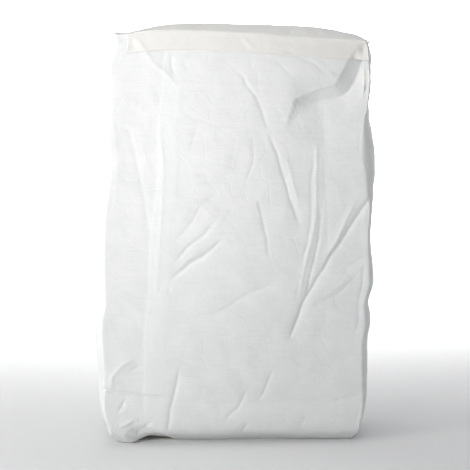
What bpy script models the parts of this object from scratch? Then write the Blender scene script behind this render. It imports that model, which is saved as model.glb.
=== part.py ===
"""A 25 kg paper valve sack of gypsum plaster, standing on its block bottom.

The sack is a glued kraft paper tube with a rectangular block end at the top and at the bottom. Its wall is
one closed shell, 0.5 mm thick, around a core of powder. A paper cover strip is glued on each block end: the
upper one laps over the front edge, and its right end stands off. A flat paper sleeve lies in the filling
valve, in the right top corner. Metres, +Z up, +X right as seen from the front, and the front face looks
along -Y. The origin is on the floor, under the middle of the sack.
"""

import bpy
import numpy as np

# Driving dimensions of the sack
HEIGHT = 0.600
WALL = 0.0005
GAP = 0.0004
BOTTOM_CLEARANCE = 0.0008
TOP_DOME = 0.006
TOP_DOME_RIM = 0.060

# How the upper third has sunk: from this height up, towards the right end, by a power of the way to it at the
# front edge and another at the back edge, along the back, and at the left back corner. The front edge rises
# over that, by X.
SINKS_FROM = HEIGHT * 2 / 3
TOP_SLOPE_DROP = 0.0150
TOP_SLOPE_POWERS = (1.7, 6.0)
TOP_SLOPE_Y = (-0.060, 0.020)
BACK_DROP = 0.0045
BACK_DROP_Y = (-0.050, 0.055)
BACK_LEFT_DROP = 0.009
BACK_LEFT_X = (0.060, 0.150)
BACK_LEFT_Y = (-0.030, 0.050)
EDGE_RISE = [(-0.173, -0.005), (-0.155, -0.003), (-0.130, 0.001), (-0.100, 0.003), (-0.050, 0.0035),
             (0.010, 0.003), (0.060, 0.001), (0.110, 0.0), (0.200, 0.0)]
EDGE_RISE_Y = (-0.050, 0.020)

# Half widths to the left and to the right of the middle, by height
LEFT_SIDE = [(0.0, 0.178), (0.009, 0.185), (0.027, 0.190), (0.044, 0.196), (0.077, 0.200), (0.112, 0.200),
             (0.148, 0.203), (0.183, 0.203), (0.201, 0.200), (0.254, 0.200), (0.343, 0.197), (0.378, 0.192),
             (0.414, 0.188), (0.449, 0.190), (0.502, 0.186), (0.535, 0.184), (0.554, 0.184), (0.566, 0.180),
             (0.582, 0.174), (0.600, 0.172)]
RIGHT_SIDE = [(0.0, 0.173), (0.009, 0.179), (0.027, 0.184), (0.053, 0.189), (0.112, 0.191), (0.148, 0.191),
              (0.183, 0.195), (0.205, 0.192), (0.236, 0.199), (0.254, 0.198), (0.307, 0.194), (0.361, 0.198),
              (0.414, 0.200), (0.449, 0.196), (0.485, 0.191), (0.508, 0.190), (0.549, 0.194), (0.571, 0.195),
              (0.587, 0.191), (0.600, 0.184)]
# Depth of the front and of the back face from the middle plane, by height
FRONT_DEPTH = [(0.0, 0.0495), (0.010, 0.0585), (0.020, 0.0655), (0.030, 0.0695), (0.045, 0.072), (0.065, 0.0735),
               (0.180, 0.077), (0.350, 0.075), (0.480, 0.070), (0.560, 0.065), (0.600, 0.061)]
BACK_DEPTH = [(0.0, 0.046), (0.010, 0.058), (0.019, 0.066), (0.028, 0.069), (0.065, 0.073), (0.180, 0.076),
              (0.350, 0.074), (0.480, 0.068), (0.560, 0.062), (0.600, 0.058)]
# How far the foot of the front stands forward of that, by X, and the height where that ends
FOOT_FORWARD = [(-0.180, -0.006), (-0.160, 0.004), (-0.135, 0.008), (-0.122, 0.003), (-0.105, -0.008),
                (-0.060, -0.007), (0.040, -0.008), (0.080, -0.005), (0.120, -0.002), (0.200, 0.0)]
FOOT_HIGH = 0.024
# The side walls bulge out past the creased corners of the front and the back, by height. A corner turns as a
# quarter of an ellipse, which takes this share of the depth.
LEFT_BULGE = [(0.0, 0.005), (0.065, 0.009), (0.250, 0.012), (0.470, 0.010), (0.560, 0.006), (0.600, 0.004)]
RIGHT_BULGE = [(0.0, 0.004), (0.045, 0.005), (0.072, 0.007), (0.130, 0.009), (0.217, 0.008), (0.304, 0.007),
               (0.340, 0.009), (0.361, 0.013), (0.390, 0.019), (0.419, 0.023), (0.448, 0.020), (0.477, 0.013),
               (0.505, 0.004), (0.550, 0.005), (0.570, 0.009), (0.588, 0.006), (0.600, 0.003)]
CORNER_SHARE = 0.65
# How far each broad face crowns between its corners, by height
FACE_CROWN = [(0.0, 0.001), (0.065, 0.004), (0.250, 0.007), (0.470, 0.006), (0.600, 0.001)]

# The dent below the right top corner, a trough in the front face: its ends in X and Z. It fades in around its
# lower end, by these shares of its half width, and fades out over the last part of its length. It cuts the
# front face only, from this place on the half ring.
DENT_LOWER_END = (0.086, 0.506)
DENT_UPPER_END = (0.186, 0.566)
DENT_DEEP = 0.011
DENT_HALF_WIDE = 0.024
DENT_FADES_IN = (-0.4, 1.0)
DENT_FADES_OUT = 0.3
DENT_CUTS_FROM = (1.5, 2.2)

# Cover strips: the upper one by its ends in X, its lap on the front and its share of the top's depth
STRIP_THICK = 0.0004
STRIP_LAP = 0.028
STRIP_ENDS = (-0.150, 0.1815)
STRIP_TOP_SHARE = 0.7
TAB_LONG = 0.030
TAB_LIFT = 0.006
BOTTOM_STRIP_HALF = (0.150, 0.036)

# Filling valve: the mouth is a slit between two rings of the right side wall, just under the top edge. It
# takes in the side and this many steps of the corners beside it.
VALVE_LOW, VALVE_HIGH = 0.5925, 0.5965
MOUTH_CORNER_STEPS = 2
SLEEVE_LONG = 0.100
SLEEVE_HALF_WIDE = 0.043
SLEEVE_HIGH = 0.0026
SLEEVE_STANDS_OUT = 0.003
SLEEVE_RINGS, SLEEVE_COLUMNS = 8, 6
SLEEVE_RING_POWER = 1.5

# The powder ends this far under the top wall, which it leaves between two heights, and keeps this much
# further from the wall near the top edge, also between two heights
HEADSPACE = 0.011
HEADSPACE_HEIGHTS = (0.530, 0.585)
FILL_SHOULDER = 0.0045
FILL_SHOULDER_HEIGHTS = (0.480, 0.560)

# Heights of the rings of points around the sack, and how many steps a ring makes on each of its pieces
RINGS = [0.0, 0.004, 0.010, 0.020, 0.030, 0.045, 0.065, 0.100, 0.140, 0.180, 0.220, 0.260, 0.300, 0.340, 0.380,
         0.415, 0.450, 0.480, 0.505, 0.528, 0.550, HEIGHT - STRIP_LAP, 0.585, VALVE_LOW, VALVE_HIGH,
         HEIGHT - 0.0015]
SIDE_STEPS, CORNER_STEPS, FACE_STEPS = 3, 4, 18
HALF_RING = 2 * (SIDE_STEPS + CORNER_STEPS) + FACE_STEPS
RING = 2 * HALF_RING
SHARP_DEGREES = 40


def through(stations, place):
    """A smooth curve through (place, value) stations: cubic pieces that share the slope at each station."""
    places, values = np.array(stations).T
    slopes = np.gradient(values, places)
    i = np.clip(np.searchsorted(places, place) - 1, 0, len(places) - 2)
    span = places[i + 1] - places[i]
    t = np.clip((place - places[i]) / span, 0, 1)
    rise = t * t * (3 - 2 * t)
    start_slope = t * (1 - t) ** 2 * span * slopes[i]
    end_slope = t * t * (t - 1) * span * slopes[i + 1]
    return values[i] * (1 - rise) + values[i + 1] * rise + start_slope + end_slope


def smooth_step(value, low, high):
    """0 below low, 1 above high, and a smooth rise between."""
    t = np.clip((value - low) / (high - low), 0, 1)
    return t * t * (3 - 2 * t)


def half_ring(along, left, right, depth, left_bulge, right_bulge, crown):
    """Half of a ring, from the middle of the left side round a broad face to the middle of the right side.
    along runs from 0 to 5: straight side, quarter of an ellipse as wide as the bulge, face, quarter of an
    ellipse, straight side. Gives x and the distance from the middle plane."""
    side_out, corner_out, on_face, corner_back, side_back = (np.clip(along - k, 0, 1) for k in range(5))
    first, second = corner_out * np.pi / 2, corner_back * np.pi / 2
    deep = CORNER_SHARE * (depth - crown)
    straight, face = depth - crown - deep, left + right - left_bulge - right_bulge
    x = -left + left_bulge * (1 - np.cos(first)) + on_face * face + right_bulge * np.sin(second)
    distance = (side_out - side_back) * straight + deep * (np.sin(first) - 1 + np.cos(second))
    return x, distance + crown * (1 - np.cos(2 * np.pi * on_face)) / 2


def front_dent(x, z):
    """Depth of the trough below the right top corner: a bell across its line, faded at both ends."""
    start, end = np.array(DENT_LOWER_END), np.array(DENT_UPPER_END)
    length = np.linalg.norm(end - start)
    way = (end - start) / length
    forward = (x - start[0]) * way[0] + (z - start[1]) * way[1]
    across = (z - start[1]) * way[0] - (x - start[0]) * way[1]
    fade_in = smooth_step(forward / DENT_HALF_WIDE, *DENT_FADES_IN)
    fade_out = smooth_step((length - forward) / length, 0, DENT_FADES_OUT)
    return DENT_DEEP * np.exp(-((across / DENT_HALF_WIDE) ** 2)) * fade_in * fade_out


def ring_places():
    """The 0 to 5 places of the points on one half ring, both ends included."""
    steps = [SIDE_STEPS, CORNER_STEPS, FACE_STEPS, CORNER_STEPS, SIDE_STEPS]
    places = [k + np.arange(count) / count for k, count in enumerate(steps)]
    return np.concatenate([*places, [5.0]])


def wall_points():
    """The outer wall as a grid of points, one row a ring. A row starts at the middle of the left side, runs
    along the front to the middle of the right side, and home along the back."""
    along = ring_places()[None, :]
    height = np.array(RINGS)[:, None]
    left, right = through(LEFT_SIDE, height), through(RIGHT_SIDE, height)
    front_deep, back_deep = through(FRONT_DEPTH, height), through(BACK_DEPTH, height)
    rest = through(LEFT_BULGE, height), through(RIGHT_BULGE, height), through(FACE_CROWN, height)
    front_x, front = half_ring(along, left, right, front_deep, *rest)
    back_x, back = half_ring(along, left, right, back_deep, *rest)
    front *= 1 + through(FOOT_FORWARD, front_x) * smooth_step(-height, -FOOT_HIGH, 0) / front_deep
    front -= front_dent(front_x, height) * smooth_step(along, *DENT_CUTS_FROM)
    x = np.concatenate([front_x, back_x[:, -2:0:-1]], axis=1)
    y = np.concatenate([-front, back[:, -2:0:-1]], axis=1)
    return np.stack([x, y, sunk_height(x, y, height)], axis=2)


def sunk_height(x, y, height):
    """The Z of a place after the sack has sunk in its upper third: towards its right end, later along the
    back edge than along the front edge, along the back, and at its left back corner. The front edge rises
    over that."""
    share = np.clip((x + LEFT_SIDE[-1][1]) / (LEFT_SIDE[-1][1] + RIGHT_SIDE[-1][1]), 0, 1)
    front_power, back_power = TOP_SLOPE_POWERS
    power = front_power + (back_power - front_power) * smooth_step(y, *TOP_SLOPE_Y)
    corner = smooth_step(-x, *BACK_LEFT_X) * smooth_step(y, *BACK_LEFT_Y)
    sunk = TOP_SLOPE_DROP * share**power + BACK_DROP * smooth_step(y, *BACK_DROP_Y) + BACK_LEFT_DROP * corner
    risen = through(EDGE_RISE, x) * (1 - smooth_step(y, *EDGE_RISE_Y))
    standing = BOTTOM_CLEARANCE + height * (1 - BOTTOM_CLEARANCE / HEIGHT)
    return standing - smooth_step(height, SINKS_FROM, HEIGHT) * (sunk - risen)


def end_numbers(first_of_ring, first_new):
    """Point numbers of a block end, a grid whose rim is the ring: rows run from the front to the back edge,
    and each row from left to right. The points inside the rim are new ones."""
    rows, columns = 2 * SIDE_STEPS + 1, HALF_RING - 2 * SIDE_STEPS + 1
    numbers = first_new + np.arange(-1, rows - 1)[:, None] * (columns - 2) + np.arange(-1, columns - 1)
    numbers[0] = first_of_ring + SIDE_STEPS + np.arange(columns)
    numbers[-1] = first_of_ring + RING - SIDE_STEPS - np.arange(columns)
    numbers[:, 0] = first_of_ring + (SIDE_STEPS - np.arange(rows)) % RING
    numbers[:, -1] = first_of_ring + HALF_RING - SIDE_STEPS + np.arange(rows)
    return numbers


def end_points(ring, dome):
    """The new points of a block end: on straight lines from the front to the back edge, raised by a dome."""
    front = ring[SIDE_STEPS : HALF_RING - SIDE_STEPS + 1]
    back = ring[RING - SIDE_STEPS : HALF_RING + SIDE_STEPS - 1 : -1]
    share = (np.arange(1, 2 * SIDE_STEPS) / (2 * SIDE_STEPS))[:, None, None]
    points = front[1:-1] * (1 - share) + back[1:-1] * share
    edge = np.minimum(points[..., 0] - ring[:, 0].min(), ring[:, 0].max() - points[..., 0])
    points[..., 2] += dome * 4 * (share * (1 - share))[..., 0] * smooth_step(edge, 0, TOP_DOME_RIM)
    return points


def grid_faces(numbers, wrap=False):
    """Four-sided faces between neighbouring rows and columns of a grid of point numbers."""
    low, high = numbers[:-1], numbers[1:]
    if wrap:
        return np.stack([low, np.roll(low, -1, 1), np.roll(high, -1, 1), high], axis=2)
    return np.stack([low[:, :-1], low[:, 1:], high[:, 1:], high[:, :-1]], axis=2)


class Skin:
    """The closed outer surface: the wall's grid of points, with a grid for each block end."""

    def __init__(self):
        wall = wall_points()
        top, bottom = end_points(wall[-1], TOP_DOME), end_points(wall[0], 0)
        self.points = np.concatenate([wall.reshape(-1, 3), top.reshape(-1, 3), bottom.reshape(-1, 3)])
        self.wall_numbers = np.arange(wall.size // 3).reshape(wall.shape[:2])
        self.top_numbers = end_numbers(self.wall_numbers[-1, 0], wall.size // 3)
        self.bottom_numbers = end_numbers(0, (wall.size + top.size) // 3)
        self.normals = self.unit_normals()

    def faces(self, with_mouth=False):
        """All the faces. The valve mouth leaves out those between its two rings, on the right side."""
        wall = grid_faces(self.wall_numbers, wrap=True)
        kept = np.ones(wall.shape[:2], bool)
        if with_mouth:
            half_mouth = SIDE_STEPS + MOUTH_CORNER_STEPS
            kept[RINGS.index(VALVE_LOW), HALF_RING - half_mouth : HALF_RING + half_mouth] = False
        top = grid_faces(self.top_numbers).reshape(-1, 4)
        bottom = grid_faces(self.bottom_numbers).reshape(-1, 4)[:, ::-1]
        return np.concatenate([wall[kept], top, bottom])

    def unit_normals(self):
        """The unit normal at each point, out of the sack."""
        mesh = bpy.data.meshes.new("normals")
        mesh.from_pydata(self.points.tolist(), [], self.faces().tolist())
        found = np.empty(self.points.size, np.float32)
        mesh.vertices.foreach_get("normal", found)
        bpy.data.meshes.remove(mesh)
        return found.reshape(-1, 3)


def material(name, colour, roughness):
    made = bpy.data.materials.new(name)
    made.use_nodes = True
    shader = made.node_tree.nodes["Principled BSDF"]
    shader.inputs["Base Color"].default_value = (*colour, 1)
    shader.inputs["Roughness"].default_value = roughness
    shader.inputs["Metallic"].default_value = 0
    return made


def add_object(name, points, faces, finish):
    mesh = bpy.data.meshes.new(name)
    mesh.from_pydata(points.tolist(), [], faces.tolist())
    made = bpy.data.objects.new(name, mesh)
    mesh.materials.append(finish)
    bpy.context.scene.collection.objects.link(made)
    mesh.shade_smooth()
    mesh.set_sharp_from_angle(angle=np.radians(SHARP_DEGREES))
    return made


def add_wall(made, thickness, offset):
    wall = made.modifiers.new("wall", "SOLIDIFY")
    wall.thickness = thickness
    wall.offset = offset


def add_sack(skin, paper):
    """The paper: one wall inwards from the skin, open at the valve mouth."""
    sack = add_object("paper_sack", skin.points, skin.faces(with_mouth=True), paper)
    add_wall(sack, WALL, offset=-1)


def add_fill(skin, powder):
    """The powder: the skin moved in by the wall and a gap, lower and rounder under the top."""
    shoulder = smooth_step(skin.points[:, 2:], *FILL_SHOULDER_HEIGHTS)
    inner = skin.points - skin.normals * (WALL + GAP + FILL_SHOULDER * shoulder)
    inner[:, 2:] -= HEADSPACE * smooth_step(skin.points[:, 2:], *HEADSPACE_HEIGHTS)
    add_object("gypsum_fill", inner, skin.faces(), powder)


def add_top_strip(skin, paper):
    """A patch of the skin, moved out by a gap: up its lap on the front, over the edge and across the top.
    The low corner at its right end stands off the sack."""
    lap = skin.wall_numbers[RINGS.index(HEIGHT - STRIP_LAP) :, SIDE_STEPS : HALF_RING - SIDE_STEPS + 1]
    numbers = np.concatenate([lap, skin.top_numbers[1 : 1 + round(STRIP_TOP_SHARE * 2 * SIDE_STEPS)]])
    edge_x = skin.points[skin.top_numbers[0], 0]
    numbers = numbers[:, (edge_x > STRIP_ENDS[0]) & (edge_x < STRIP_ENDS[1])]
    patch = skin.points[numbers] + skin.normals[numbers] * GAP
    free_end = smooth_step(patch[..., 0], STRIP_ENDS[1] - TAB_LONG, STRIP_ENDS[1])
    free_low = 1 - smooth_step(patch[..., 2], HEIGHT - TOP_SLOPE_DROP - STRIP_LAP, HEIGHT - TOP_SLOPE_DROP)
    patch[..., 1] -= TAB_LIFT * free_end * free_low
    faces = grid_faces(np.arange(numbers.size).reshape(numbers.shape)).reshape(-1, 4)
    add_wall(add_object("top_cover_strip", patch.reshape(-1, 3), faces, paper), STRIP_THICK, offset=1)


def add_bottom_strip(paper):
    """A flat strip under the bottom: its lower face is on the floor."""
    x, y = BOTTOM_STRIP_HALF
    points = np.array([(-x, -y, 0.0), (x, -y, 0.0), (x, y, 0.0), (-x, y, 0.0)])
    strip = add_object("bottom_cover_strip", points, np.array([(3, 2, 1, 0)]), paper)
    add_wall(strip, STRIP_THICK, offset=-1)


def add_sleeve(skin, paper):
    """The valve sleeve: a flat tube that follows the slope of the top wall from its mouth to its inner end.
    Its rings lie closest at the mouth."""
    row = RINGS.index(VALVE_LOW)
    mouth = skin.points[skin.wall_numbers[row : row + 2, HALF_RING]].mean(axis=0)
    across = np.linspace(-SLEEVE_HALF_WIDE, SLEEVE_HALF_WIDE, SLEEVE_COLUMNS)
    y = np.concatenate([across, across[::-1]])
    above_middle = np.repeat([-SLEEVE_HIGH / 2, SLEEVE_HIGH / 2], SLEEVE_COLUMNS)
    inward = SLEEVE_LONG * np.linspace(0, 1, SLEEVE_RINGS)[:, None] ** SLEEVE_RING_POWER
    x = mouth[0] + SLEEVE_STANDS_OUT - inward
    x, y = np.broadcast_arrays(x, y)
    z = sunk_height(x, y, (VALVE_LOW + VALVE_HIGH) / 2) + above_middle
    numbers = np.arange(x.size).reshape(x.shape)
    faces = grid_faces(numbers, wrap=True).reshape(-1, 4)[:, ::-1]
    sleeve = add_object("valve_sleeve", np.stack([x, y, z], axis=2).reshape(-1, 3), faces, paper)
    add_wall(sleeve, STRIP_THICK, offset=-1)


def main():
    for old in list(bpy.data.objects):
        bpy.data.objects.remove(old, do_unlink=True)
    strip_paper = material("cover strip paper", (0.84, 0.84, 0.81), 0.60)
    skin = Skin()
    add_sack(skin, material("white kraft paper", (0.86, 0.87, 0.86), 0.62))
    add_fill(skin, material("gypsum powder", (0.90, 0.89, 0.86), 0.95))
    add_top_strip(skin, strip_paper)
    add_bottom_strip(strip_paper)
    add_sleeve(skin, material("sleeve paper", (0.80, 0.79, 0.75), 0.65))


main()
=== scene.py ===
import bpy
import numpy as np
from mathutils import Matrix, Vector


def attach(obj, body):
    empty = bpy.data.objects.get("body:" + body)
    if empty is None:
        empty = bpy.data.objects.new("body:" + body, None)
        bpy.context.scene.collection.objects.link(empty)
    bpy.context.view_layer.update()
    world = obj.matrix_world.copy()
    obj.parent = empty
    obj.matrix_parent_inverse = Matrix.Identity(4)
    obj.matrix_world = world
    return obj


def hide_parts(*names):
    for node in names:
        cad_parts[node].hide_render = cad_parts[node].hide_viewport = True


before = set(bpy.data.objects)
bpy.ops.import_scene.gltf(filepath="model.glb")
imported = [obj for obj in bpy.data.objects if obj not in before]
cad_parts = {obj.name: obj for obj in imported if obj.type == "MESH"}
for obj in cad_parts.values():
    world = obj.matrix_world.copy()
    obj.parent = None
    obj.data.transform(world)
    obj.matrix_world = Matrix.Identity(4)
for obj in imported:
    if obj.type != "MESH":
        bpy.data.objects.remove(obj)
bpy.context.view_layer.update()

# The sack: a glued tube of white kraft paper, 500 mm wide when flat, with a folded block end at the top and
# at the bottom. The powder presses it round. A place on it is given as on the flat tube, in millimetres:
# across, from the left side fold over the front to the right side fold and home over the back, and up.
FLAT_WIDTH = 500.0
HEIGHT = 600.0
BOTTOM_CLEARANCE = 0.8
EDGE_RADIUS = 2.5
TOP_SLOPE_DROP = 15.0
TOP_SLOPE_POWERS = (1.7, 6.0)
BACK_DROP = 4.5
BACK_LEFT_DROP = 9.0
TOP_DOME = 6.0

# Half widths to the left and to the right of the middle, by height up the tube
LEFT_SIDE = [(0, 178), (9, 185), (27, 190), (44, 196), (77, 200), (112, 200), (148, 203), (183, 203),
             (201, 200), (254, 200), (343, 197), (378, 192), (414, 188), (449, 190), (502, 186),
             (535, 184), (554, 184), (566, 180), (582, 174), (600, 172)]
RIGHT_SIDE = [(0, 173), (9, 179), (27, 184), (53, 189), (112, 191), (148, 191), (183, 195), (205, 192),
              (236, 199), (254, 198), (307, 194), (361, 198), (414, 200), (449, 196), (485, 191),
              (508, 190), (549, 194), (571, 195), (587, 191), (600, 184)]
# Depth of the front and of the back face from the middle plane, by height
FRONT_DEPTH = [(0, 43), (7, 53), (14, 61), (22, 66), (31, 69.5), (45, 72), (65, 73.5), (180, 77),
               (350, 75), (480, 70), (560, 65), (600, 61)]
BACK_DEPTH = [(0, 46), (10, 58), (19, 66), (28, 69), (65, 73), (180, 76), (350, 74), (480, 68), (560, 62),
              (600, 58)]
# How far the foot of the front stands forward at its left end, by x, and the height where that ends
FOOT_FORWARD = [(-180, -6), (-160, 4), (-135, 8), (-122, 3), (-105, -8), (-60, -7), (40, -8), (80, -5),
                (120, -2), (200, 0)]
FOOT_HIGH = 24.0
# The side walls bulge out past the creased corners of the front and the back, by height. A corner turns as a
# quarter of an ellipse, which takes this share of the depth.
LEFT_BULGE = [(0, 5), (65, 9), (250, 12), (470, 10), (560, 6), (600, 4)]
RIGHT_BULGE = [(0, 6), (45, 9), (72, 11), (130, 13), (217, 12), (304, 9), (340, 9), (361, 13), (390, 19),
               (419, 23), (448, 20), (477, 13), (505, 4), (550, 5), (570, 9), (588, 6), (600, 3)]
CORNER_SHARE = 0.65
# How far each broad face crowns between its corners, by height
FACE_CROWN = [(0, 1), (65, 4), (250, 7), (470, 6), (600, 1)]
# The dent below the right top corner, a trough in the front: its ends in x and z, its depth and half width
DENT_LOWER_END = (86.0, 506.0)
DENT_UPPER_END = (186.0, 566.0)
DENT_DEEP = 4.0
DENT_WIDE = 24.0

# Rises of the front edge of the top, by x
EDGE_RISE = [(-173, -5), (-155, -3), (-130, 1), (-100, 3), (-50, 3.5), (10, 3), (60, 1), (110, 0), (200, 0)]

# The net of points: columns on half a side wall, on the front face and on the back, and rows up the wall
SIDE_COLUMNS, FACE_COLUMNS, BACK_COLUMNS = 16, 220, 72
FACE_START = 66.0
ROWS = 270
ROW_SPACES = [(0, 1.6), (130, 1.9), (220, 2.5), (430, 2.5), (500, 1.9), (600, 1.9)]
EDGE_ROWS = 6
TOP_ROWS = 28
BOTTOM_ROWS = 6
TOP_DEPTH = 120.0


def through(stations, place):
    """A smooth curve through (place, value) stations: cubic pieces that share the slope at each station."""
    places, values = np.array(stations, float).T
    slopes = np.gradient(values, places)
    i = np.clip(np.searchsorted(places, place) - 1, 0, len(places) - 2)
    span = places[i + 1] - places[i]
    t = np.clip((place - places[i]) / span, 0, 1)
    rise = t * t * (3 - 2 * t)
    start_slope = t * (1 - t) ** 2 * span * slopes[i]
    end_slope = t * t * (t - 1) * span * slopes[i + 1]
    return values[i] * (1 - rise) + values[i + 1] * rise + start_slope + end_slope


def smooth_step(value, low, high):
    """0 below low, 1 above high, and a smooth rise between."""
    t = np.clip((value - low) / (high - low), 0, 1)
    return t * t * (3 - 2 * t)


def half_ring(share, left, right, depth, left_bulge, right_bulge, crown):
    """Half of a ring, walked at an even pace from the middle of the left side round a broad face to the
    middle of the right side: straight, a quarter of an ellipse as deep as the corner and as wide as the
    bulge, the face with a crown that rises and falls as a cosine, a quarter of an ellipse, straight. A
    quarter's length is about pi over the root of 8, times the diagonal of its box. Gives x and the distance
    from the middle plane."""
    deep = CORNER_SHARE * (depth - crown)
    straight, face = depth - crown - deep, left + right - left_bulge - right_bulge
    first_long = np.pi / np.sqrt(8) * np.hypot(left_bulge, deep)
    second_long = np.pi / np.sqrt(8) * np.hypot(right_bulge, deep)
    walked = share * (2 * straight + first_long + second_long + face)
    side_out = np.clip(walked / straight, 0, 1)
    first = np.clip((walked - straight) / first_long, 0, 1) * np.pi / 2
    on_face = np.clip((walked - straight - first_long) / face, 0, 1)
    second = np.clip((walked - straight - first_long - face) / second_long, 0, 1) * np.pi / 2
    side_back = np.clip((walked - straight - first_long - face - second_long) / straight, 0, 1)
    x = -left + left_bulge * (1 - np.cos(first)) + on_face * face + right_bulge * np.sin(second)
    distance = (side_out - side_back) * straight + deep * (np.sin(first) - 1 + np.cos(second))
    return x, distance + crown * (1 - np.cos(2 * np.pi * on_face)) / 2


def front_dent(x, z):
    """Depth of the dent: a bell across the line between its ends, faded towards both."""
    start, end = np.array(DENT_LOWER_END), np.array(DENT_UPPER_END)
    length = np.linalg.norm(end - start)
    way = (end - start) / length
    forward = (x - start[0]) * way[0] + (z - start[1]) * way[1]
    aside = (z - start[1]) * way[0] - (x - start[0]) * way[1]
    fade = smooth_step(forward, -0.4 * DENT_WIDE, DENT_WIDE) * smooth_step(-forward, -length, -0.7 * length)
    return DENT_DEEP * np.exp(-((aside / DENT_WIDE) ** 2)) * fade


def top_drop(x, y, up):
    """How far the sack has sunk in its upper third: towards its right end, later along the back edge than
    along the front edge, along the back, and at its left back corner. The front edge has its own rises."""
    share = np.clip((x + LEFT_SIDE[-1][1]) / (LEFT_SIDE[-1][1] + RIGHT_SIDE[-1][1]), 0, 1)
    front_power, back_power = TOP_SLOPE_POWERS
    power = front_power + (back_power - front_power) * smooth_step(y, -60, 20)
    corner = smooth_step(-x, 60, 150) * smooth_step(y, -30, 50)
    sunk = TOP_SLOPE_DROP * share**power + BACK_DROP * smooth_step(y, -50, 55) + BACK_LEFT_DROP * corner
    rise = through(EDGE_RISE, x) * (1 - smooth_step(y, -50, 20))
    return smooth_step(up, HEIGHT * 2 / 3, HEIGHT) * (sunk - rise)


def plain_wall(across, up):
    """The tube's wall before it folds: half a ring for the front and half for the back at each height, pulled
    in by a quarter circle at the upper edge, at the foot of the front and by the dent."""
    over_edge = np.clip((up - HEIGHT + EDGE_RADIUS) / EDGE_RADIUS, 0, 1)
    inset = EDGE_RADIUS * (1 - np.sqrt(1 - over_edge**2))
    is_front = across <= FLAT_WIDTH
    share = np.where(is_front, across, 2 * FLAT_WIDTH - across) / FLAT_WIDTH
    depth = np.where(is_front, through(FRONT_DEPTH, up), through(BACK_DEPTH, up))
    left, right = through(LEFT_SIDE, up) - inset, through(RIGHT_SIDE, up) - inset
    bulges = through(LEFT_BULGE, up), through(RIGHT_BULGE, up)
    x, distance = half_ring(share, left, right, depth - inset, *bulges, through(FACE_CROWN, up))
    footed = distance * (1 + through(FOOT_FORWARD, x) * smooth_step(-up, -FOOT_HIGH, 0) / depth)
    y = np.where(is_front, front_dent(x, up) * smooth_step(distance, 20, 50) - footed, distance)
    z = BOTTOM_CLEARANCE + up * (1 - BOTTOM_CLEARANCE / HEIGHT) - top_drop(x, y, up)
    return np.stack([x, y, z], axis=-1)


def wall_lines():
    """The places across and up of the wall's columns and rows. The columns lie closest on the front face, and
    the rows near both ends and over the rounding of the upper edge."""
    face_end = FLAT_WIDTH - FACE_START
    left = np.linspace(0, FACE_START, SIDE_COLUMNS, endpoint=False)
    face = np.linspace(FACE_START, face_end, FACE_COLUMNS, endpoint=False)
    back = np.linspace(FLAT_WIDTH, 2 * FLAT_WIDTH, BACK_COLUMNS, endpoint=False)
    edge = HEIGHT - EDGE_RADIUS + EDGE_RADIUS * np.sin(np.linspace(0, np.pi / 2, EDGE_ROWS + 1)[1:])
    heights = np.arange(0, HEIGHT - EDGE_RADIUS, 0.1)
    pace = np.cumsum(1 / np.interp(heights, *np.transpose(ROW_SPACES)))
    rows = np.interp(np.linspace(pace[0], pace[-1], ROWS), pace, heights)
    up = np.concatenate([rows, edge])
    return np.concatenate([left, face, left + face_end, back]), up


def wall_normals(across, up):
    """The direction out of the plain wall, square to its slopes across and up."""
    step = 0.8
    low, high = np.clip(up - step, 0, HEIGHT), np.clip(up + step, 0, HEIGHT)
    around = 2 * FLAT_WIDTH
    sideways = plain_wall((across + step) % around, up) - plain_wall((across - step) % around, up)
    upwards = plain_wall(across, high) - plain_wall(across, low)
    square = np.cross(sideways, upwards)
    return square / np.linalg.norm(square, axis=-1, keepdims=True)


# Folds pressed into the paper, each as height out of the wall, its widths to the left and to the right of the
# way it runs, and points of its line. A ridge has a height above 0, and a valley one below.
TOP_FOLDS = [
    # At the pointed left corner
    (1.53, 4.4, 3.2, [(88, 600), (98, 586), (108, 576), (126, 556), (144, 540), (158, 524)]),
    (-1.27, 2.5, 2.5, [(86, 592), (90, 584), (98, 576)]),
    (-1.14, 2.5, 2.5, [(42, 600), (76, 594), (84, 588)]),
    # Under the lap of the cover strip
    (-1.27, 3.8, 2.5, [(148, 571), (152, 557), (154, 544), (160, 532)]),
    (-0.637, 3.2, 2.5, [(201, 575), (203, 561), (204, 550)]),
    (-0.507, 2.5, 2.5, [(168, 558), (175, 547), (179, 542)]),
    (-0.767, 2.5, 2.5, [(261, 570), (264, 558), (264, 546)]),
    (-0.637, 3.2, 3.2, [(272, 556), (273, 534), (275, 512)]),
    (-0.897, 3.2, 3.2, [(292, 568), (304, 560), (310, 554), (318, 546), (326, 541)]),
    (-1.65, 4.4, 3.2, [(302, 580), (316, 578), (328, 572), (338, 568), (350, 564), (359, 558), (366, 550),
        (372, 544)]),
    (-1.14, 3.2, 2.5, [(352, 574), (359, 570), (368, 566), (376, 562)]),
    (1.14, 3.8, 3.8, [(370, 556), (378, 546), (386, 540)]),
    # Over the strip
    (1.53, 3.2, 2.5, [(244, 598), (250, 591), (256, 586), (262, 582), (268, 574)]),
    (-0.767, 2.5, 2.5, [(250, 585), (256, 576), (255, 568)]),
    # The crease that the flat sack had across it
    (0.442, 2.5, 2.5, [(6, 525), (94, 532), (144, 528), (193, 526), (263, 526), (341, 528)]),
    (0.637, 3.2, 2.5, [(152, 526), (158, 524), (163, 524)]),
]
DENT_FOLDS = [
    (-0.42, 3.2, 3.2, [(356, 520), (370, 526), (383, 534)]),
    (0.42, 4.0, 4.0, [(331, 508), (327, 498), (322, 484), (319, 466)]),
    (-0.35, 4.0, 4.0, [(365, 500), (371, 488), (372, 476)]),
    (-0.42, 4.0, 4.0, [(403, 492), (392, 480), (383, 468)]),
    (-0.28, 4.8, 4.8, [(334, 510), (334, 492), (333, 469)]),
]
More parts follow.
